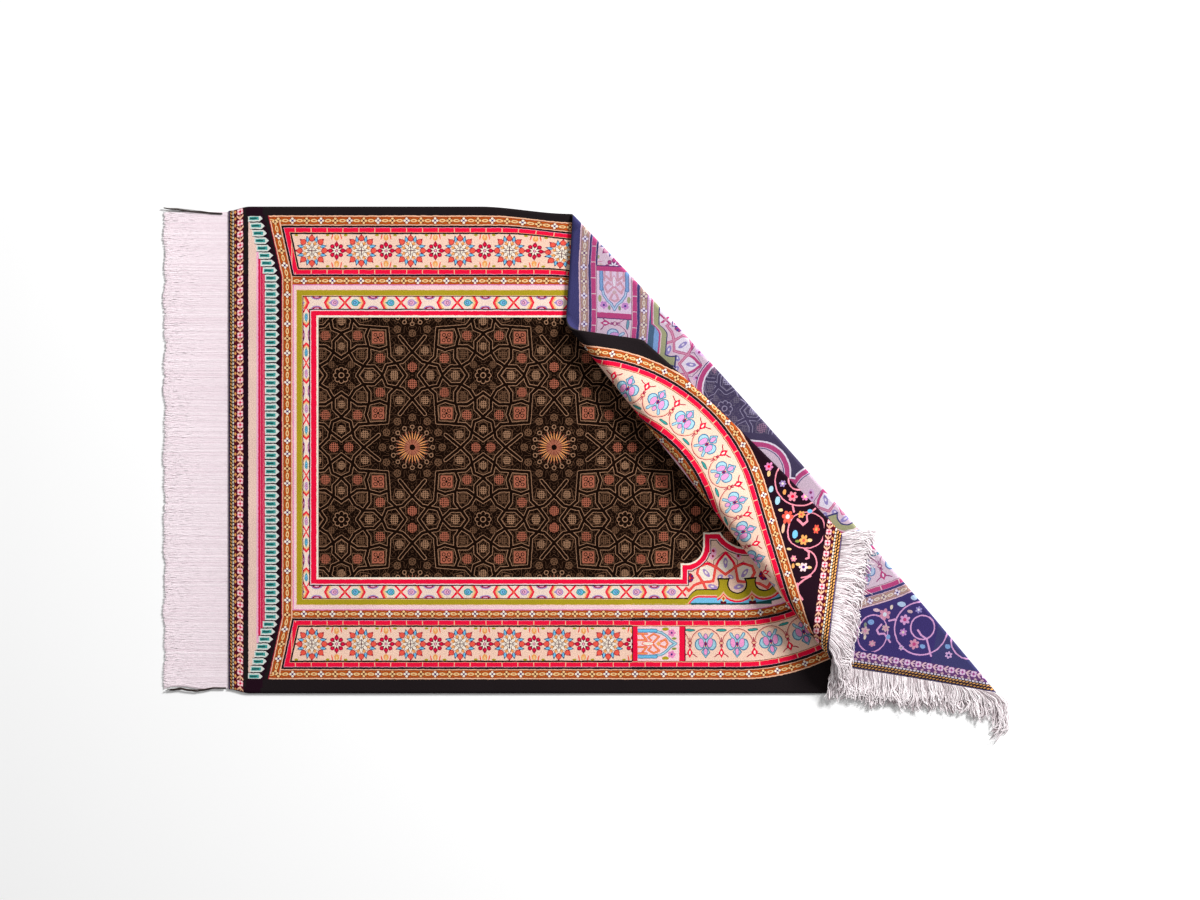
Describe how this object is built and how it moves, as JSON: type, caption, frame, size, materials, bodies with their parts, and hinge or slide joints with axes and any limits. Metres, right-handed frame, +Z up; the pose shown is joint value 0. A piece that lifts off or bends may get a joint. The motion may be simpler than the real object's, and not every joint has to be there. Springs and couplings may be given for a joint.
{
  "type": "prayer rug",
  "caption": "Prayer rug lying flat with one end folded back over itself in a loose slanted roll, with a yarn fringe along each end.",
  "frame": {"origin": "on the underside of the rug's flat layer, at the middle of the unfolded sheet", "axes": "+X along the rug's length towards the folded end, +Y across it towards the back side, +Z up from the floor"},
  "size_m": [1.2165, 0.7604, 0.0428],
  "materials": {
    "woven_pile": "short cut pile with a woven pattern",
    "fringe_yarn": "loose soft yarn strands"
  },
  "bodies": {
    "root": {"rug_body": "woven_pile", "fringe_left": "fringe_yarn", "fringe_right_lower": "fringe_yarn", "fringe_right_upper": "fringe_yarn", "fringe_tucked": "fringe_yarn"}
  },
  "joints": []
}
